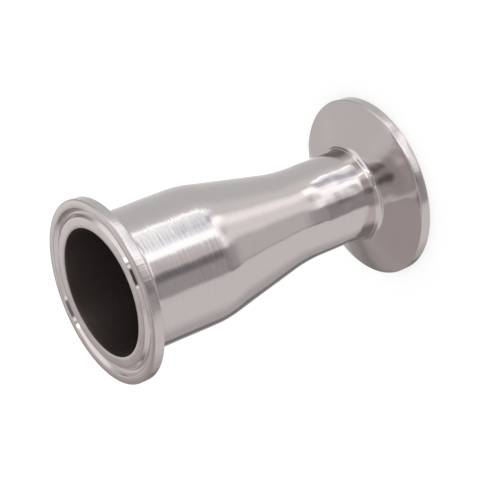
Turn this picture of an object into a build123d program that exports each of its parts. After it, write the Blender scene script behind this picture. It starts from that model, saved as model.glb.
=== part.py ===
# Sanitary concentric reducer: a 38.1 mm tube swaged down to 25.4 mm, with a clamp ferrule
# at each end. The tube and both ferrules are welded and ground flush, so it is one solid
# piece of stainless steel. It stands on its small ferrule: the origin is the centre of that
# sealing face, and +Z runs along the bore to the large ferrule. Sizes are in millimetres.

import os
from math import radians, tan

from build123d import *

# Whole reducer
overall_length = 89.0  # sealing face to sealing face
tube_wall = 1.5

# Large end
large_tube_od = 38.1
large_straight = 30.2  # sealing face to the corner of the cone, before it is bent round
knee_radius = 32.0  # bend from the large tube into the cone, on the outside

# Small end
small_tube_od = 25.4
small_straight = 28.9  # sealing face to the corner of the cone, before it is bent round
throat_radius = 50.0  # bend from the cone into the small tube, on the outside

# Sealing face, from the large bore outwards. The small ferrule has the same groove and rim,
# so one size of clamp and gasket fits both ends. The rim comes out at 50.5 mm across and
# the middle of the groove at 43.5 mm.
inner_land = 2.95  # flat between the large bore and the groove
groove_width = 2.5
groove_depth = 1.2
groove_wall_slope = 30.0  # degrees that each wall of the groove leans from the axis
outer_land = 2.25  # flat between the groove and the rim

# Ferrule behind the sealing face
rim_thickness = 2.85
back_taper = 20.0  # degrees, the slope of the back that the clamp pulls on
neck_fillet = 2.0  # between the back and the tube
rim_edge_break = 0.3
mouth_edge_break = 0.2  # at the edge of the bore

large_radius = large_tube_od / 2
small_radius = small_tube_od / 2
groove_inside = large_radius - tube_wall + inner_land
groove_outside = groove_inside + groove_width
rim_radius = groove_outside + outer_land
groove_lean = groove_depth * tan(radians(groove_wall_slope))


def back_meets_tube(tube_radius, face, inward):
    # Corner where the tapered back would meet the outside of the tube
    rise = (rim_radius - tube_radius) * tan(radians(back_taper))
    return (tube_radius, face + inward * (rim_thickness + rise))


with BuildPart() as reducer_body:
    # Half section: radius from the bore's axis to the right, height upwards
    with BuildSketch(Plane.XZ) as section:
        # Swaged tube: the outside line of its wall, bent at the throat and the knee, and the
        # same line set in by one even wall
        with BuildLine():
            FilletPolyline(
                (small_radius, 0),
                (small_radius, small_straight),
                (large_radius, overall_length - large_straight),
                (large_radius, overall_length),
                radius=(throat_radius, knee_radius),
            )
            offset(amount=tube_wall, side=Side.LEFT)
        make_face()

        # Each ferrule is built from its sealing face, inward is the way into the part
        for tube_radius, face, inward in (
            (small_radius, 0, 1),
            (large_radius, overall_length, -1),
        ):
            mouth = (tube_radius - tube_wall, face)
            rim_front = (rim_radius, face)
            rim_back = (rim_radius, face + inward * rim_thickness)
            neck = back_meets_tube(tube_radius, face, inward)
            with BuildLine():
                Polyline(mouth, rim_front, rim_back, neck, (mouth[0], neck[1]), close=True)
            make_face()

            # Gasket groove, turned into the sealing face with sloping walls
            with BuildLine():
                Polyline(
                    (groove_inside, face),
                    (groove_inside + groove_lean, face + inward * groove_depth),
                    (groove_outside - groove_lean, face + inward * groove_depth),
                    (groove_outside, face),
                    close=True,
                )
            make_face(mode=Mode.SUBTRACT)

            # The neck is ground to a smooth sweep, and the sharp edges are broken
            corners = section.vertices()
            fillet(corners.sort_by_distance(neck)[0], radius=neck_fillet)
            corners = section.vertices()
            rim_edges = [corners.sort_by_distance(edge)[0] for edge in (rim_front, rim_back)]
            chamfer(rim_edges, length=rim_edge_break)
            mouth_edge = section.vertices().sort_by_distance(mouth)[0]
            chamfer(mouth_edge, length=mouth_edge_break)
    revolve(axis=Axis.Z)

reducer_body.part.label = "reducer_body"

os.makedirs("parts", exist_ok=True)
export_step(reducer_body.part, "parts/reducer_body.step")
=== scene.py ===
from math import atan2, cos, radians, sin, tan

import bpy
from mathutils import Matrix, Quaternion, Vector


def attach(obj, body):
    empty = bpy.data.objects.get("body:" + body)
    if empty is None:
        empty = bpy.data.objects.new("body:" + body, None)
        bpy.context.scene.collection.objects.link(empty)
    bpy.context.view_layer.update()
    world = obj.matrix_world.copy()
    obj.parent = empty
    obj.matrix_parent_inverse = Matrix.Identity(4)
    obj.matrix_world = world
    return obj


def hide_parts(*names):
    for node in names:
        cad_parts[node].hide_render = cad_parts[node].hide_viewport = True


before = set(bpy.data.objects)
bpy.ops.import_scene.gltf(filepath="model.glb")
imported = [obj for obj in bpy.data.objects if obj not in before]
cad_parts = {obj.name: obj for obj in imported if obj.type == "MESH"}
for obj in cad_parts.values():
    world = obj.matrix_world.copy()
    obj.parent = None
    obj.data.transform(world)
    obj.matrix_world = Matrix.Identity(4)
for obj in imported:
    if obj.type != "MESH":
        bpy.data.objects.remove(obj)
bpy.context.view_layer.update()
mm = 0.001


def addNode(tree, kind, inputs=None, **settings):
    # settings come first, because a node's mode decides which sockets it shows
    node = tree.nodes.new(kind)
    for name, value in settings.items():
        setattr(node, name, value)
    for key, value in (inputs or {}).items():
        if isinstance(value, bpy.types.NodeSocket):
            tree.links.new(value, node.inputs[key])
        else:
            node.inputs[key].default_value = value
    return node


def linearColour(hexText, strength=1.0):
    # sRGB hex to the linear values that shaders want
    channels = [int(hexText[i:i + 2], 16) / 255 for i in (1, 3, 5)]
    linear = [c / 12.92 if c <= 0.04045 else ((c + 0.055) / 1.055) ** 2.4 for c in channels]
    return tuple(c * strength for c in linear) + (1.0,)


# Camera: a long lens from well above, turned on its side so that the standing part lies
# across the frame
camera = {
    "lens": 150.0,
    "sensor": 36.0,
    "clipStart": 0.01,  # m
    "aim": (-0.78, 0.0, 45.33),  # mm, close to the middle of the bore
    "distance": 533.6,
    "azimuth": 0.1,  # degrees from -Y towards +X
    "elevation": 28.94,
    "roll": -112.0,
}


def addCamera(name):
    c = camera
    aim = Vector(c["aim"]) * mm
    flat = cos(radians(c["elevation"]))
    away = Vector((sin(radians(c["azimuth"])) * flat, -cos(radians(c["azimuth"])) * flat,
                   sin(radians(c["elevation"]))))
    data = bpy.data.cameras.new(name)
    data.lens = c["lens"]
    data.sensor_width = c["sensor"]
    data.clip_start = c["clipStart"]
    eye = bpy.data.objects.new(name, data)
    bpy.context.scene.collection.objects.link(eye)
    eye.location = aim + away * c["distance"] * mm
    eye.rotation_mode = "QUATERNION"
    eye.rotation_quaternion = (-away).to_track_quat("-Z", "Y") @ Quaternion((0, 0, 1), radians(c["roll"]))
    bpy.context.scene.camera = eye


addCamera("benchCamera")
print("camera set")

# The reducer, in millimetres. It stands on the small ferrule, with Z up the bore.
reducer = {
    "length": 89.0,
    "wall": 1.5,
    "largeRadius": 19.05,
    "smallRadius": 12.7,
    "largeStraight": 30.2,
    "smallStraight": 28.9,
    "kneeRadius": 32.0,
    "throatRadius": 50.0,
    "rimRadius": 25.25,
    "rimThickness": 2.85,
    "backSlope": 20.0,  # degrees
    "neckFillet": 2.0,
    "rimRound": 0.35,
    "mouthRound": 0.2,
    "grooveInside": 20.5,
    "grooveOutside": 23.0,
    "grooveDepth": 1.2,
    "grooveWallLean": 0.69,
    "grooveFloorRound": 0.94,
    "grooveLipRound": 0.2,
    "stepsRound": 288,
    "edgeSteps": 5,
    "neckSteps": 12,
    "bendSteps": 20,
    "straightStep": 1.1,  # longest piece of a straight run
    "tubeFacing": (0.85, 0.93),  # how squarely a point faces outwards where tube begins, and is full
    "boreFacing": -0.5,  # what faces inwards more than this, within the large tube, is bore
    "rimMargin": 0.15,  # what lies nearer than this to the rim's radius is rim
    "waveSize": 8.0,  # hand polishing leaves the tube slightly uneven
    "waveDepth": 0.13,
    "waveDetail": 2.0,
    "waveRoughness": 0.45,
    "waveBottom": 8.0,  # heights between which the tube is uneven
    "waveTop": 82.5,
    "waveFull": 0.46,  # full depth up to this share of that run, either side of its middle
    "smallEndWaves": 4.5,  # how much more of it the small end has
    "smallEndTop": 35.0,  # height at which that has faded out
}


def ferruleCorners(tubeRadius, face, inward):
    # one ferrule, from the mouth of the bore round to the neck: radius, height, rounding, steps
    r = reducer
    rise = (r["rimRadius"] - tubeRadius) * tan(radians(r["backSlope"]))
    floorZ = face + inward * r["grooveDepth"]
    steps = r["edgeSteps"]
    return [
        (tubeRadius - r["wall"], face, r["mouthRound"], steps),
        (r["grooveInside"], face, r["grooveLipRound"], steps),
        (r["grooveInside"] + r["grooveWallLean"], floorZ, r["grooveFloorRound"], steps),
        (r["grooveOutside"] - r["grooveWallLean"], floorZ, r["grooveFloorRound"], steps),
        (r["grooveOutside"], face, r["grooveLipRound"], steps),
        (r["rimRadius"], face, r["rimRound"], steps),
        (r["rimRadius"], face + inward * r["rimThickness"], r["rimRound"], steps),
        (tubeRadius, face + inward * (r["rimThickness"] + rise), r["neckFillet"], r["neckSteps"]),
    ]


def sectionCorners():
    # the wall's closed section: small ferrule, outside of the tube, large ferrule, bore
    r = reducer
    kneeZ = r["length"] - r["largeStraight"]
    coneAngle = atan2(r["largeRadius"] - r["smallRadius"], kneeZ - r["smallStraight"])
    shift = r["wall"] * tan(coneAngle / 2)  # the bore's corners sit this much higher
    bore = r["wall"]
    steps = r["bendSteps"]
    outside = [
        (r["smallRadius"], r["smallStraight"], r["throatRadius"], steps),
        (r["largeRadius"], kneeZ, r["kneeRadius"], steps),
    ]
    inside = [
        (r["largeRadius"] - bore, kneeZ + shift, r["kneeRadius"] - bore, steps),
        (r["smallRadius"] - bore, r["smallStraight"] + shift, r["throatRadius"] + bore, steps),
    ]
    small = ferruleCorners(r["smallRadius"], 0.0, 1)
    large = ferruleCorners(r["largeRadius"], r["length"], -1)
    return small + outside + large[::-1] + inside


def sectionObject(name):
    # the section as a loop of edges, with each corner's rounding kept on its vertex
    corners = sectionCorners()
    mesh = bpy.data.meshes.new(name)
    mesh.from_pydata(
        [(radius * mm, 0, height * mm) for radius, height, _, _ in corners],
        [(i, (i + 1) % len(corners)) for i in range(len(corners))],
        [],
    )
    rounding = mesh.attributes.new("cornerRadius", "FLOAT", "POINT")
    steps = mesh.attributes.new("cornerSteps", "INT", "POINT")
    for i, corner in enumerate(corners):
        rounding.data[i].value = corner[2] * mm
        steps.data[i].value = corner[3]
    section = bpy.data.objects.new(name, mesh)
    bpy.context.scene.collection.objects.link(section)
    return section


def turnedTree(name):
    # rounds the corners of a section, turns it about Z and gives the tube its unevenness
    r = reducer
    tree = bpy.data.node_groups.new(name, "GeometryNodeTree")
    face = tree.interface
    face.new_socket("Geometry", in_out="INPUT", socket_type="NodeSocketGeometry")
    face.new_socket("Material", in_out="INPUT", socket_type="NodeSocketMaterial")
    face.new_socket("Steps Round", in_out="INPUT", socket_type="NodeSocketInt")
    for label in ("Straight Step", "Path Radius", "Wave Size", "Wave Depth", "Small End Waves",
                  "Small End Top", "Wave Bottom", "Wave Top", "Bore Limit", "Rim Limit"):
        face.new_socket(label, in_out="INPUT", socket_type="NodeSocketFloat")
    face.new_socket("Geometry", in_out="OUTPUT", socket_type="NodeSocketGeometry")
    given = addNode(tree, "NodeGroupInput").outputs

    outline = addNode(tree, "GeometryNodeMeshToCurve", {"Mesh": given["Geometry"]}).outputs["Curve"]
    radius = addNode(tree, "GeometryNodeInputNamedAttribute", {"Name": "cornerRadius"}, data_type="FLOAT")
    count = addNode(tree, "GeometryNodeInputNamedAttribute", {"Name": "cornerSteps"}, data_type="INT")
    outline = addNode(tree, "GeometryNodeFilletCurve", {
        "Curve": outline, "Radius": radius.outputs["Attribute"], "Count": count.outputs["Attribute"],
        "Limit Radius": True}, mode="POLY").outputs["Curve"]

    # long straight runs are cut into short pieces
    here = addNode(tree, "GeometryNodeInputPosition").outputs["Position"]
    point = addNode(tree, "GeometryNodeInputIndex").outputs["Index"]
    after = addNode(tree, "GeometryNodeOffsetPointInCurve", {"Point Index": point, "Offset": 1})
    there = addNode(tree, "GeometryNodeFieldAtIndex", {"Index": after.outputs["Point Index"], "Value": here},
                    data_type="FLOAT_VECTOR", domain="POINT").outputs["Value"]
    run = addNode(tree, "ShaderNodeVectorMath", {0: here, 1: there}, operation="DISTANCE").outputs["Value"]
    cuts = addNode(tree, "ShaderNodeMath", {
        0: run, 1: given["Straight Step"]}, operation="DIVIDE").outputs["Value"]
    outline = addNode(tree, "GeometryNodeSubdivideCurve", {"Curve": outline, "Cuts": cuts}).outputs["Curve"]

    # every ring keeps how far along the section it lies, which the polishing marks follow
    along = addNode(tree, "GeometryNodeSplineParameter").outputs["Length"]
    outline = addNode(tree, "GeometryNodeStoreNamedAttribute", {
        "Geometry": outline, "Name": "alongSection", "Value": along,
    }, data_type="FLOAT", domain="POINT").outputs["Geometry"]

    # laid flat about the path circle, because the profile's X runs outwards and its Y runs down
    back = addNode(tree, "ShaderNodeMath", {
        0: given["Path Radius"], 1: -1.0}, operation="MULTIPLY").outputs["Value"]
    shift = addNode(tree, "ShaderNodeCombineXYZ", {"X": back}).outputs["Vector"]
    outline = addNode(tree, "GeometryNodeTransform", {
        "Geometry": outline, "Translation": shift, "Rotation": (radians(90), 0, 0)}).outputs["Geometry"]
    circle = addNode(tree, "GeometryNodeCurvePrimitiveCircle", {
        "Resolution": given["Steps Round"], "Radius": given["Path Radius"]}, mode="RADIUS").outputs["Curve"]
    body = addNode(tree, "GeometryNodeCurveToMesh", {
        "Curve": circle, "Profile Curve": outline}).outputs["Mesh"]
    body = addNode(tree, "GeometryNodeFlipFaces", {"Mesh": body}).outputs["Mesh"]  # outwards

    # which way each point faces: outwards on the tube and rims, inwards in the bore
    here = addNode(tree, "GeometryNodeInputPosition").outputs["Position"]
    level = addNode(tree, "ShaderNodeVectorMath", {
        0: here, 1: (1, 1, 0)}, operation="MULTIPLY").outputs["Vector"]
    fromAxis = addNode(tree, "ShaderNodeVectorMath", {0: level}, operation="LENGTH").outputs["Value"]
    outward = addNode(tree, "ShaderNodeVectorMath", {0: level}, operation="NORMALIZE").outputs["Vector"]
    normal = addNode(tree, "GeometryNodeInputNormal").outputs["Normal"]
    facing = addNode(tree, "ShaderNodeVectorMath", {
        0: normal, 1: outward}, operation="DOT_PRODUCT").outputs["Value"]
    inwards = addNode(tree, "FunctionNodeCompare", {
        "A": facing, "B": r["boreFacing"]}, operation="LESS_THAN").outputs["Result"]
    within = addNode(tree, "FunctionNodeCompare", {
        "A": fromAxis, "B": given["Bore Limit"]}, operation="LESS_THAN").outputs["Result"]
    inBore = addNode(tree, "FunctionNodeBooleanMath", {
        0: inwards, 1: within}, operation="AND").outputs["Boolean"]
    onRim = addNode(tree, "FunctionNodeCompare", {
        "A": fromAxis, "B": given["Rim Limit"]}, operation="GREATER_THAN").outputs["Result"]
    tubeBegins, tubeFull = r["tubeFacing"]
    onTube = addNode(tree, "ShaderNodeMapRange", {
        "Value": facing, "From Min": tubeBegins, "From Max": tubeFull}).outputs["Result"]
    for label, value in (("inBore", inBore), ("onRim", onRim), ("onTube", onTube)):
        body = addNode(tree, "GeometryNodeStoreNamedAttribute", {
            "Geometry": body, "Name": label, "Value": value,
        }, data_type="FLOAT", domain="POINT").outputs["Geometry"]

    # hand polishing: slow waves on the outside of the tube, fading out at the necks
    height = addNode(tree, "ShaderNodeSeparateXYZ", {"Vector": here}).outputs["Z"]
    fade = addNode(tree, "ShaderNodeMapRange", {
        "Value": height, "From Min": given["Wave Bottom"], "From Max": given["Wave Top"]}).outputs["Result"]
    fade = addNode(tree, "ShaderNodeMath", {0: fade, 1: 0.5}, operation="SUBTRACT").outputs["Value"]
    fade = addNode(tree, "ShaderNodeMath", {0: fade}, operation="ABSOLUTE").outputs["Value"]
    fade = addNode(tree, "ShaderNodeMapRange", {
        "Value": fade, "From Min": 0.5, "From Max": r["waveFull"],
    }, interpolation_type="SMOOTHSTEP").outputs["Result"]
    scale = addNode(tree, "ShaderNodeMath", {
        0: 1.0, 1: given["Wave Size"]}, operation="DIVIDE").outputs["Value"]
    wave = addNode(tree, "ShaderNodeTexNoise", {
        "Vector": here,
        "Scale": scale,
        "Detail": r["waveDetail"],
        "Roughness": r["waveRoughness"],
    }).outputs[0]
    depth = addNode(tree, "ShaderNodeMath", {0: wave, 1: 0.5}, operation="SUBTRACT").outputs["Value"]
    more = addNode(tree, "ShaderNodeMapRange", {
        "Value": height, "From Min": given["Wave Bottom"], "From Max": given["Small End Top"],
        "To Min": given["Small End Waves"], "To Max": 1.0}).outputs["Result"]
    for factor in (given["Wave Depth"], more, fade, onTube):
        depth = addNode(tree, "ShaderNodeMath", {0: depth, 1: factor}, operation="MULTIPLY").outputs["Value"]
    offset = addNode(tree, "ShaderNodeVectorMath", {
        0: outward, "Scale": depth}, operation="SCALE").outputs["Vector"]
    body = addNode(tree, "GeometryNodeSetPosition", {"Geometry": body, "Offset": offset}).outputs["Geometry"]

    body = addNode(tree, "GeometryNodeSetShadeSmooth", {"Geometry": body}).outputs["Geometry"]
    body = addNode(tree, "GeometryNodeRealizeInstances", {"Geometry": body}).outputs["Geometry"]
    body = addNode(tree, "GeometryNodeSetMaterial", {
        "Geometry": body, "Material": given["Material"]}).outputs["Geometry"]
    addNode(tree, "NodeGroupOutput", {"Geometry": body})
    return tree


def buildReducer(name, material):
    r = reducer
    section = sectionObject("reducerSection")
    tree = turnedTree("TurnedReducer")
    turn = section.modifiers.new("turn", "NODES")
    turn.node_group = tree
    values = {
        "Material": material,
        "Steps Round": r["stepsRound"],
        "Straight Step": r["straightStep"] * mm,
        "Path Radius": (r["smallRadius"] - r["wall"]) * mm,
        "Wave Size": r["waveSize"] * mm,
        "Wave Depth": r["waveDepth"] * mm,
        "Small End Waves": r["smallEndWaves"],
        "Small End Top": r["smallEndTop"] * mm,
        "Wave Bottom": r["waveBottom"] * mm,
        "Wave Top": r["waveTop"] * mm,
        "Bore Limit": r["largeRadius"] * mm,
        "Rim Limit": (r["rimRadius"] - r["rimMargin"]) * mm,
    }
    for item in tree.interface.items_tree:
        if item.in_out == "INPUT" and item.name in values:
            turn[item.identifier] = values[item.name]
    evaluated = section.evaluated_get(bpy.context.evaluated_depsgraph_get())
    mesh = bpy.data.meshes.new_from_object(evaluated)
    mesh.name = name
    bpy.data.objects.remove(section)
    piece = bpy.data.objects.new(name, mesh)
    bpy.context.scene.collection.objects.link(piece)
    print("reducer turned:", len(mesh.polygons), "faces")
    return piece


# Steel: 304 stainless, belt polished round the outside and turned on the faces. Fine lines run
# round the part, so highlights stretch along its axis. Lengths are in millimetres.
steel = {
    "colour": "#DFD6D4",
    # the bore's steel is painted far darker than the outside steel: painted shade inside the bore, with a
    # warm tint
    "boreShadeColour": "#968B87",
    "roughness": 0.1,
    "ferruleRoughness": 0.1,
    "rimRoughness": 0.18,
    "boreRoughness": 0.38,
    "anisotropy": 0.4,
    "highlightTurn": 0.25,  # a quarter turn
    "rimMarks": 40.0,  # noise cells to one radius of turn, about 0.6 mm apart on the rims
    "rimMarkDepth": 0.055,
    "linePitch": 0.6,  # between polishing lines, a little coarser than real so that they show
    "lineCells": 1.6,  # noise cells to one radius of turn, so a line changes slowly along itself
    "lineDepth": 0.028,
    "lineDetail": 3.0,
    "lineRoughness": 0.6,
    "turnedFaceLines": 0.1,  # bump strength off the tube, the rims and the bore
    "smallEndLines": 0.35,  # the small end is polished finer
    "smallEndTop": 30.0,  # height where the coarser lines begin, full at twice that
    "toneNoise": (0.3, 0.7),  # noise values that get the darkest and the palest tone
    "tones": (0.985, 1.01),
    "backWaveSize": 6.0,  # slow unevenness of the ground backs of the ferrules
    "backWaveDepth": 0.1,
}


def steelMaterial(name):
    s = steel
    material = bpy.data.materials.new(name)
    material.use_nodes = True
    tree = material.node_tree
    tree.nodes.clear()

    place = addNode(tree, "ShaderNodeTexCoord").outputs["Object"]
    level = addNode(tree, "ShaderNodeVectorMath", {
        0: place, 1: (1, 1, 0)}, operation="MULTIPLY").outputs["Vector"]
    outward = addNode(tree, "ShaderNodeVectorMath", {0: level}, operation="NORMALIZE").outputs["Vector"]
    along = addNode(tree, "ShaderNodeAttribute", {}, attribute_name="alongSection").outputs["Fac"]
    inBore = addNode(tree, "ShaderNodeAttribute", {}, attribute_name="inBore").outputs["Fac"]
    onRim = addNode(tree, "ShaderNodeAttribute", {}, attribute_name="onRim").outputs["Fac"]

    # polishing lines: quick changes along the section, slow ones round the part
    step = addNode(tree, "ShaderNodeMath", {
        0: along, 1: 1 / (s["linePitch"] * mm)}, operation="MULTIPLY").outputs[0]
    step = addNode(tree, "ShaderNodeCombineXYZ", {"Z": step}).outputs["Vector"]
    turn = addNode(tree, "ShaderNodeVectorMath", {
        0: outward, "Scale": s["lineCells"]}, operation="SCALE").outputs["Vector"]
    grain = addNode(tree, "ShaderNodeVectorMath", {0: turn, 1: step}, operation="ADD").outputs["Vector"]
    # short marks across the rims, where they were dressed, and lengthwise marks along the bore
    across = addNode(tree, "ShaderNodeVectorMath", {0: outward, "Scale": s["rimMarks"]}, operation="SCALE")
    lengthwise = addNode(tree, "ShaderNodeMath", {0: onRim, 1: inBore}, operation="MAXIMUM").outputs[0]
    grain = addNode(tree, "ShaderNodeMix", {
        "Factor": lengthwise, 4: grain, 5: across.outputs["Vector"]}, data_type="VECTOR").outputs[1]
    lines = addNode(tree, "ShaderNodeTexNoise", {
        "Vector": grain, "Scale": 1.0, "Detail": s["lineDetail"], "Roughness": s["lineRoughness"]}).outputs[0]
    # they are weakest on the turned faces and weaker at the small end
    onTube = addNode(tree, "ShaderNodeAttribute", {}, attribute_name="onTube").outputs["Fac"]
    marked = addNode(tree, "ShaderNodeMath", {0: onTube, 1: lengthwise}, operation="MAXIMUM").outputs[0]
    strength = addNode(tree, "ShaderNodeMapRange", {
        "Value": marked, "To Min": s["turnedFaceLines"], "To Max": 1.0}).outputs["Result"]
    height = addNode(tree, "ShaderNodeSeparateXYZ", {"Vector": place}).outputs["Z"]
    coarse = addNode(tree, "ShaderNodeMapRange", {
        "Value": height, "From Min": s["smallEndTop"] * mm, "From Max": 2 * s["smallEndTop"] * mm,
        "To Min": s["smallEndLines"], "To Max": 1.0}).outputs["Result"]
    strength = addNode(tree, "ShaderNodeMath", {0: strength, 1: coarse}, operation="MULTIPLY").outputs[0]
    depth = addNode(tree, "ShaderNodeMapRange", {
        "Value": lengthwise,
        "To Min": s["lineDepth"] * mm,
        "To Max": s["rimMarkDepth"] * mm,
    }).outputs["Result"]
    bump = addNode(tree, "ShaderNodeBump", {"Height": lines, "Strength": strength, "Distance": depth})
    # the ferrules' backs are ground by hand, so they are a little uneven
    offTube = addNode(tree, "ShaderNodeMath", {0: 1.0, 1: marked}, operation="SUBTRACT").outputs[0]
    slow = addNode(tree, "ShaderNodeTexNoise", {
        "Vector": place, "Scale": 1 / (s["backWaveSize"] * mm), "Detail": 1.0}).outputs[0]
    bump = addNode(tree, "ShaderNodeBump", {
        "Height": slow,
        "Strength": offTube,
        "Distance": s["backWaveDepth"] * mm,
        "Normal": bump.outputs["Normal"],
    })

    noiseLow, noiseHigh = s["toneNoise"]
    darkest, palest = s["tones"]
    tone = addNode(tree, "ShaderNodeMapRange", {
        "Value": lines, "From Min": noiseLow, "From Max": noiseHigh, "To Min": darkest, "To Max": palest,
    }).outputs["Result"]
    # inside the bore the base colour switches to the darker one, which is painted shade in the bore
    colour = addNode(tree, "ShaderNodeMix", {
        "Factor": inBore, 6: linearColour(s["colour"]), 7: linearColour(s["boreShadeColour"])}, data_type="RGBA")
    toned = addNode(tree, "ShaderNodeVectorMath", {0: colour.outputs[2], "Scale": tone}, operation="SCALE")
    rough = s["ferruleRoughness"]
    for mask, target in ((onTube, "roughness"), (onRim, "rimRoughness"), (inBore, "boreRoughness")):
        rough = addNode(tree, "ShaderNodeMix", {0: mask, 2: rough, 3: s[target]}).outputs[0]
    tangent = addNode(tree, "ShaderNodeTangent", {}, direction_type="RADIAL", axis="Z").outputs["Tangent"]
    shader = addNode(tree, "ShaderNodeBsdfPrincipled", {
        "Base Color": toned.outputs["Vector"],
        "Metallic": 1.0,
        "Roughness": rough,
        "Anisotropic": s["anisotropy"],
        "Anisotropic Rotation": s["highlightTurn"],
        "Tangent": tangent,
        "Normal": bump.outputs["Normal"],
    })
    addNode(tree, "ShaderNodeOutputMaterial", {"Surface": shader.outputs["BSDF"]})
    return material


beltPolished = steelMaterial("beltPolishedStainless")
body = buildReducer("reducer", beltPolished)
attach(body, "root")
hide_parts("reducer_body")

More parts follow.
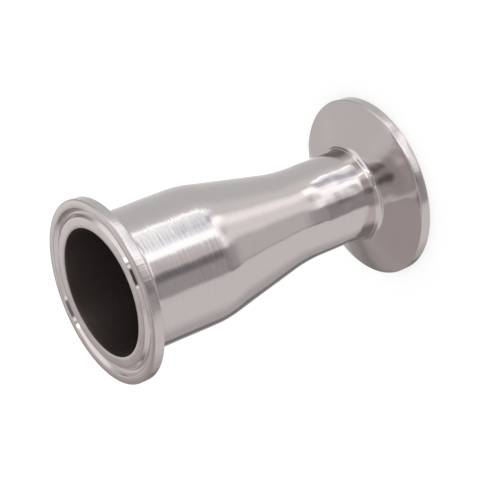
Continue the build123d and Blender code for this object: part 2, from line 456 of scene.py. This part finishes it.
# Studio: soft panels and dark flags all round, seen only in the steel. Angles are in degrees:
# azimuth runs from the camera's side towards +X, and slant moves a panel sideways for each
# degree of elevation. Each angle has its middle, half size and soft edge.
studio = {
    "room": ("#D7D7D7", 1.0),
    "slats": 4,  # thin bars across the window, which the polishing lines break up
    "slatAcross": (45, 15, 3),
    "slatTop": -26.8,
    "slatPitch": 1.6,
    "slatHalf": 0.3,
    "slatSoft": 0.4,
    "slatSlant": 0.8,
    "slatColour": "#C4C8D2",
    "panels": {
        # walls and ceiling
        "rightShade": ((108, 26, 18), (-20, 50, 10), 0.0, "#C9CDCD", 1.0),
        "backWall": ((180, 50, 15), (10, 30, 6), 0.0, "#C4C4C4", 1.0),
        "sideRight": ((126, 28, 12), (-1, 12, 4), 0.0, "#807E7E", 1.0),
        "ceilingLeft": ((150, 30, 8), (44, 36, 8), 0.0, "#CBCBCB", 1.0),
        "ceilingDark": ((-156, 28, 6), (46, 34, 8), 0.0, "#A8A2A1", 1.0),
        "ceilingFront": ((-4, 96, 18), (62, 13, 5), 0.0, "#ACACAC", 1.0),
        "ceilingMiddle": ((10, 60, 25), (75, 7, 4), 0.0, "#9C9C9C", 1.0),
        "ceilingDimRight": ((112, 24, 14), (69.5, 4.5, 3), 0.0, "#A6A2A2", 1.0),
        "ceilingSpotRight": ((80, 28, 10), (73, 5, 2.5), 0.0, "#6A686A", 1.0),
        "ceilingSpot": ((-6, 20, 10), (73, 7, 4), 0.0, "#5C5C5C", 1.0),
        "ceilingSpotLeft": ((-138, 14, 8), (73, 4, 3), 0.0, "#747070", 1.0),
        "ceilingShine": ((118, 22, 10), (64.8, 2.2, 1.4), 0.0, "#E0E0E0", 1.0),
        "faceWall": ((170, 10, 5), (27, 7, 4), 0.0, "#E4E4E4", 1.0),
        # behind the part
        "backGlow": ((176, 14, 20), (-35, 28, 6), 0.0, "#FFFFFF", 1.0),
        "backShade": ((-132, 20, 16), (-20, 45, 8), 0.0, "#B4B4B4", 1.0),
        "backBox": ((182, 16, 4), (-35, 28, 6), 0.0, "#FFFFFF", 1.6),
        "backLeft": ((-166, 16, 4), (-25, 14, 4), 0.0, "#A8A6A6", 1.0),
        "backFlag": ((-148, 8, 5), (-25, 40, 8), 0.0, "#767676", 1.0),
        "sideLeft": ((-122, 24, 12), (-2, 12, 4), 0.0, "#8A8888", 1.0),
        "backCorner": ((-148, 24, 8), (1, 13, 6), 0.0, "#8A8686", 1.0),
        # dim side of the front
        "frontDim": ((-20, 32, 8), (8, 28, 8), 0.0, "#ACA8A8", 1.0),
        "frontGrey": ((0, 6, 8), (-16, 16, 2), 0.0, "#C8C4C6", 1.0),
        "dimLow": ((-24, 23, 3), (-54, 14, 4), 0.0, "#C6C6C6", 1.0),
        "dimSide": ((-27, 20, 3.5), (-10, 36, 6), 0.0, "#A6A5A6", 1.0),
        "dimLine": ((-46.5, 1, 0.8), (-41, 7, 4), 0.0, "#4C4C4C", 1.0),
        "dimLineLow": ((-47, 1, 0.8), (-55, 6, 4), 0.0, "#8C8C8C", 1.0),
        "frontFlag": ((-14.5, 6.5, 4.5), (-17.5, 13.4, 0.5), 0.0, "#767378", 1.0),
        "lowFlag": ((-27.5, 17.5, 3.5), (-32.3, 2.2, 0.9), 0.0, "#908D8F", 1.0),
        # key light: a large window with its glow on the bench below it
        "keySpill": ((64, 12, 10), (-40, 18, 8), 0.0, "#DEE0E0", 1.0),
        "keyGlow": ((28, 26, 5), (-50, 17, 4), -0.65, "#EDEDED", 1.0),
        "keyGlowRight": ((40, 9, 8), (-48, 12, 5), 0.0, "#FFFFFF", 1.12),
        "keyUpper": ((52, 30, 6), (16, 34, 6), 0.0, "#FFFFFF", 1.05),
        "keyMiddle": ((56, 12, 5), (3, 18, 6), 0.0, "#C4C4C4", 1.0),
        "sideWindow": ((92, 18, 8), (34, 16, 8), 0.0, "#FFFFFF", 1.0),
        "keyTail": ((16, 13, 6), (-33.2, 2.2, 0.6), 0.0, "#FAFDFF", 1.2),
        "keyBox": ((45, 27.5, 2), (-24, 10, 2), 0.8, "#F5FCFF", 1.42),
        "keyStripLeft": ((23, 6.5, 2.8), (-18, 11.8, 1.4), 0.0, "#F7FDFF", 1.5),
        "keyPale": ((53, 6, 3), (-27.2, 0.7, 0.4), 0.0, "#EEF1F1", 1.0),
        "keyDull": ((38.5, 6, 3.5), (-28.0, 1.1, 0.6), 2.5, "#ACB4CA", 1.0),
        "keyDullKnee": ((47, 7, 3), (-30.5, 1.0, 0.7), 0.0, "#A2A6B0", 1.0),
        "keyDullLow": ((47, 6.5, 2.5), (-32.3, 1.6, 0.8), 0.0, "#AAAFC0", 1.0),
        "keyGap": ((62.5, 0.9, 0.8), (-27.5, 3, 0.8), 1.0, "#B4B6B8", 1.0),
        "keyLine": ((66.5, 1.7, 1.2), (-28.5, 6, 1), 1.0, "#F8FDFF", 1.9),
        "keyFoot": ((30, 8, 4), (-32.8, 1.6, 1.4), -2.0, "#FFFFFF", 1.5),
        "keyFootMiddle": ((38, 8, 5), (-35.2, 1.5, 1.2), 0.0, "#FFFFFF", 1.45),
        "keyHook": ((43, 6, 5), (-38.5, 3.5, 2.5), 0.0, "#FFFFFF", 1.6),
        "keyFootTip": ((2, 10, 4), (-36.0, 1.3, 0.8), 0.0, "#FFFFFF", 1.35),
        "keySmudge": ((21, 8, 4), (-40.2, 2.2, 1.2), 0.0, "#CECECE", 1.0),
        # the camera's own shade, with lamps beside it
        "lampShine": ((33.5, 2, 1.5), (20, 26, 4), 0.0, "#FFFFFF", 3.0),
        "lampGap": ((26, 1.5, 1.5), (38, 8, 3), 0.0, "#707070", 1.0),
        "lampRight": ((21, 2, 1.5), (38, 9, 3), 0.0, "#FFFFFF", 1.1),
        "lampLeft": ((-12, 1.5, 1.5), (38, 9, 3), 0.0, "#FFFFFF", 1.2),
        "cameraShade": ((4, 13, 2), (39, 4.5, 1.5), 0.0, "#262626", 1.0),
        "below": ((0, 400, 1), (-90, 22, 6), 0.0, "#4A4A4A", 1.0),
    },
}


def studioWorld(name):
    world = bpy.data.worlds.new(name)
    world.use_nodes = True
    tree = world.node_tree
    tree.nodes.clear()
    ray = addNode(tree, "ShaderNodeTexCoord").outputs["Generated"]
    parts = addNode(tree, "ShaderNodeSeparateXYZ", {"Vector": ray}).outputs
    towards = addNode(tree, "ShaderNodeMath", {0: parts["Y"], 1: -1.0}, operation="MULTIPLY").outputs[0]
    azimuth = addNode(tree, "ShaderNodeMath", {0: parts["X"], 1: towards}, operation="ARCTAN2").outputs[0]
    azimuth = addNode(tree, "ShaderNodeMath", {0: azimuth}, operation="DEGREES").outputs[0]
    elevation = addNode(tree, "ShaderNodeMath", {0: parts["Z"]}, operation="ARCSINE").outputs[0]
    elevation = addNode(tree, "ShaderNodeMath", {0: elevation}, operation="DEGREES").outputs[0]

    hexText, strength = studio["room"]
    room = addNode(tree, "ShaderNodeRGB")
    room.outputs[0].default_value = linearColour(hexText, strength)
    seen = room.outputs[0]
    panels = list(studio["panels"].values())
    for i in range(studio["slats"]):
        slatMiddle = studio["slatTop"] - i * studio["slatPitch"]
        upright = (slatMiddle, studio["slatHalf"], studio["slatSoft"])
        panels.append((studio["slatAcross"], upright, studio["slatSlant"], studio["slatColour"], 1.0))

    # each panel is laid over the ones before it
    for (az, halfAz, softAz), (el, halfEl, softEl), slant, hexText, strength in panels:
        # distance from the panel's middle, the short way round
        lift = addNode(tree, "ShaderNodeMath", {0: elevation, 1: float(el)}, operation="SUBTRACT").outputs[0]
        lean = addNode(tree, "ShaderNodeMath", {
            0: lift, 1: slant, 2: float(az)}, operation="MULTIPLY_ADD").outputs[0]
        off = addNode(tree, "ShaderNodeMath", {0: azimuth, 1: lean}, operation="SUBTRACT").outputs[0]
        off = addNode(tree, "ShaderNodeMath", {0: off, 1: 180.0, 2: -180.0}, operation="WRAP").outputs[0]
        mask = 1.0
        for away, half, soft in ((off, halfAz, softAz), (lift, halfEl, softEl)):
            away = addNode(tree, "ShaderNodeMath", {0: away}, operation="ABSOLUTE").outputs[0]
            edge = addNode(tree, "ShaderNodeMapRange", {
                "Value": away, "From Min": half + soft, "From Max": half - soft,
            }, interpolation_type="SMOOTHSTEP").outputs["Result"]
            mask = addNode(tree, "ShaderNodeMath", {0: edge, 1: mask}, operation="MULTIPLY").outputs[0]
        seen = addNode(tree, "ShaderNodeMix", {
            "Factor": mask, 6: seen, 7: linearColour(hexText, strength)}, data_type="RGBA").outputs[2]

    # reflections see the panels, and everything else is lit by an even white
    glossy = addNode(tree, "ShaderNodeLightPath").outputs["Is Glossy Ray"]
    studioLight = addNode(tree, "ShaderNodeBackground", {"Color": seen, "Strength": 1.0}).outputs[0]
    plainLight = addNode(tree, "ShaderNodeBackground", {"Color": (1, 1, 1, 1), "Strength": 1.0}).outputs[0]
    both = addNode(tree, "ShaderNodeMixShader", {0: glossy, 1: plainLight, 2: studioLight}).outputs[0]
    addNode(tree, "ShaderNodeOutputWorld", {"Surface": both})
    bpy.context.scene.world = world


studioWorld("softStudio")

# Floor: pale and matt. A little over half of its white is a glow that only the camera sees, so
# that the shadow stays faint.
floor = {
    "halfSize": 3.0,  # m
    "colour": "#BCBCBC",
    "glow": 0.56,
}


def addFloor(name):
    h = floor["halfSize"]
    mesh = bpy.data.meshes.new(name)
    mesh.from_pydata([(-h, -h, 0), (h, -h, 0), (h, h, 0), (-h, h, 0)], [], [(0, 1, 2, 3)])
    material = bpy.data.materials.new("mattWhiteBoard")
    material.use_nodes = True
    tree = material.node_tree
    tree.nodes.clear()
    matt = addNode(tree, "ShaderNodeBsdfDiffuse", {"Color": linearColour(floor["colour"])}).outputs[0]
    toCamera = addNode(tree, "ShaderNodeLightPath").outputs["Is Camera Ray"]
    glow = addNode(tree, "ShaderNodeMath", {0: toCamera, 1: floor["glow"]}, operation="MULTIPLY").outputs[0]
    glow = addNode(tree, "ShaderNodeEmission", {"Color": (1, 1, 1, 1), "Strength": glow}).outputs[0]
    both = addNode(tree, "ShaderNodeAddShader", {0: matt, 1: glow}).outputs[0]
    addNode(tree, "ShaderNodeOutputMaterial", {"Surface": both})
    mesh.materials.append(material)
    board = bpy.data.objects.new(name, mesh)
    bpy.context.scene.collection.objects.link(board)
    board.visible_glossy = False  # the steel shows the studio, not the board under it


addFloor("floorBoard")
print("studio set")

bpy.context.scene.view_settings.view_transform = "Standard"
